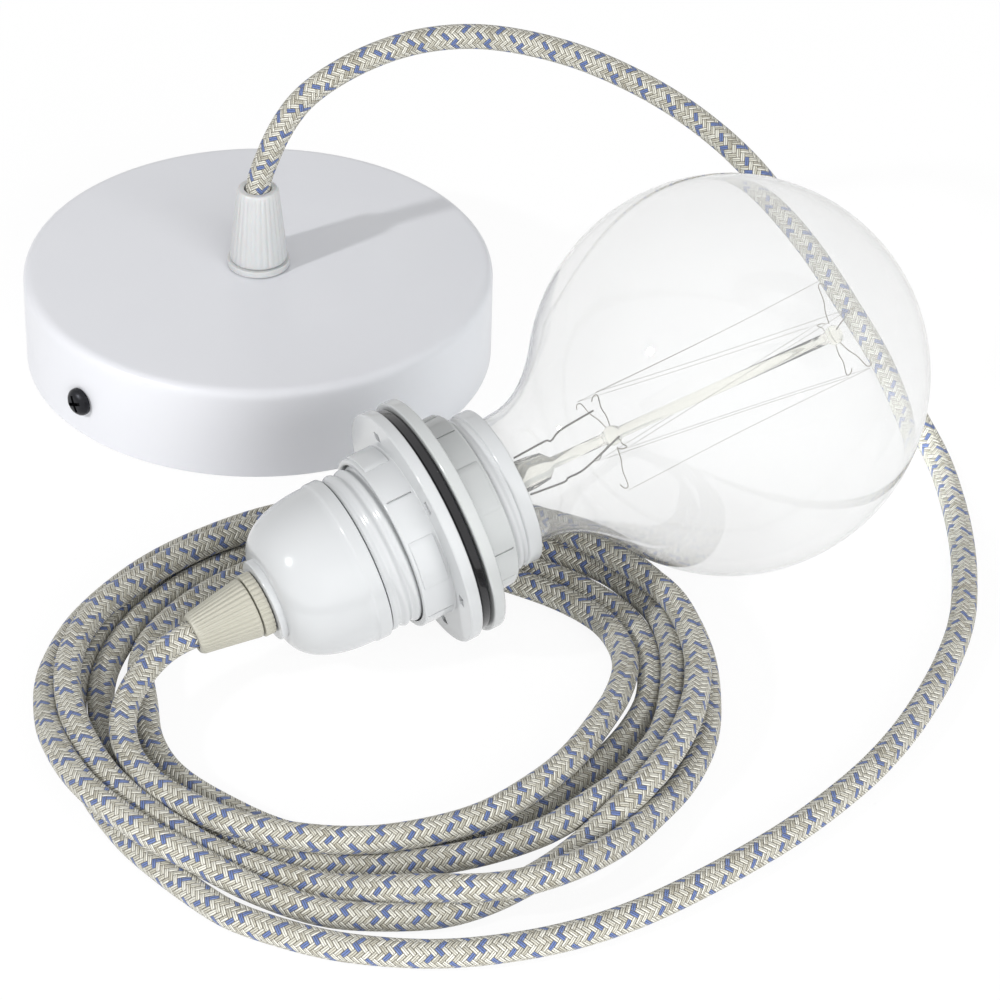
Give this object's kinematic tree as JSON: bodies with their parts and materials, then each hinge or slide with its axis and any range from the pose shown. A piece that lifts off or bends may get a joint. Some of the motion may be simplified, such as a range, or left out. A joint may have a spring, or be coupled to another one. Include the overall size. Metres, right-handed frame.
{
  "type": "pendant cord set",
  "caption": "Pendant cord set: round ceiling rose, braided textile cord in a loose coil, and a white screw lamp holder with shade rings and a clear globe bulb.",
  "frame": {"origin": "middle of the bracket's underside, the face that is screwed to the ceiling and here lies on the table", "axes": "+Z from the ceiling face into the rose towards its cord grip, +X to the right and +Y away from the viewer as the set lies in the picture"},
  "size_m": [0.2384, 0.2996, 0.0948],
  "materials": {
    "rose_paint": "satin white paint",
    "steel": "zinc plated steel",
    "black_steel": "black coated steel",
    "brass": "plain brass",
    "porcelain": "cream insulating block",
    "grip_clear": "white translucent nylon",
    "grip_ivory": "ivory nylon",
    "holder_white": "glossy white thermoset",
    "ring_black": "glossy black plastic",
    "braid": "braided textile, beige with blue flecks",
    "glass": "clear blown glass",
    "dark_glass": "dark glass insulator",
    "wire_brown": "brown insulation",
    "wire_blue": "blue insulation",
    "lead_wire": "oxidised nickel wire",
    "tungsten": "tungsten wire"
  },
  "bodies": {
    "root": {"ceiling_rose": "rose_paint", "rose_bracket": "steel", "side_screw_front": "black_steel", "side_screw_back": "black_steel", "earth_screw": "brass", "terminal_block": "porcelain", "terminal_sleeve_live": "brass", "terminal_sleeve_neutral": "brass", "terminal_screw_live_outer": "steel", "terminal_screw_live_inner": "steel", "terminal_screw_neutral_outer": "steel", "terminal_screw_neutral_inner": "steel", "rose_grip_base": "grip_clear", "rose_grip_cone": "grip_clear", "rose_grip_nut": "grip_clear", "rose_wire_live": "wire_brown", "rose_wire_neutral": "wire_blue", "holder_cap": "holder_white", "holder_body": "holder_white", "front_shade_ring": "holder_white", "rear_shade_ring": "holder_white", "flange_gasket": "ring_black", "contact_block": "porcelain", "screw_shell": "brass", "centre_contact": "brass", "holder_screw_live": "steel", "holder_wire_live": "wire_brown", "holder_screw_neutral": "steel", "holder_wire_neutral": "wire_blue", "holder_grip_base": "grip_ivory", "holder_grip_cone": "grip_ivory", "bulb_globe": "glass", "bulb_screw_cap": "steel", "bulb_insulator": "dark_glass", "bulb_end_contact": "steel", "bulb_stem": "glass", "lead_wire_1": "lead_wire", "lead_wire_2": "lead_wire", "lower_hook_1": "lead_wire", "upper_hook_1": "lead_wire", "lower_hook_2": "lead_wire", "upper_hook_2": "lead_wire", "lower_hook_3": "lead_wire", "upper_hook_3": "lead_wire", "lower_hook_4": "lead_wire", "upper_hook_4": "lead_wire", "lower_hook_5": "lead_wire", "upper_hook_5": "lead_wire", "filament": "tungsten", "cord_rose_run": "braid", "cord_coil": "braid", "cord_holder_run": "braid"}
  },
  "joints": []
}
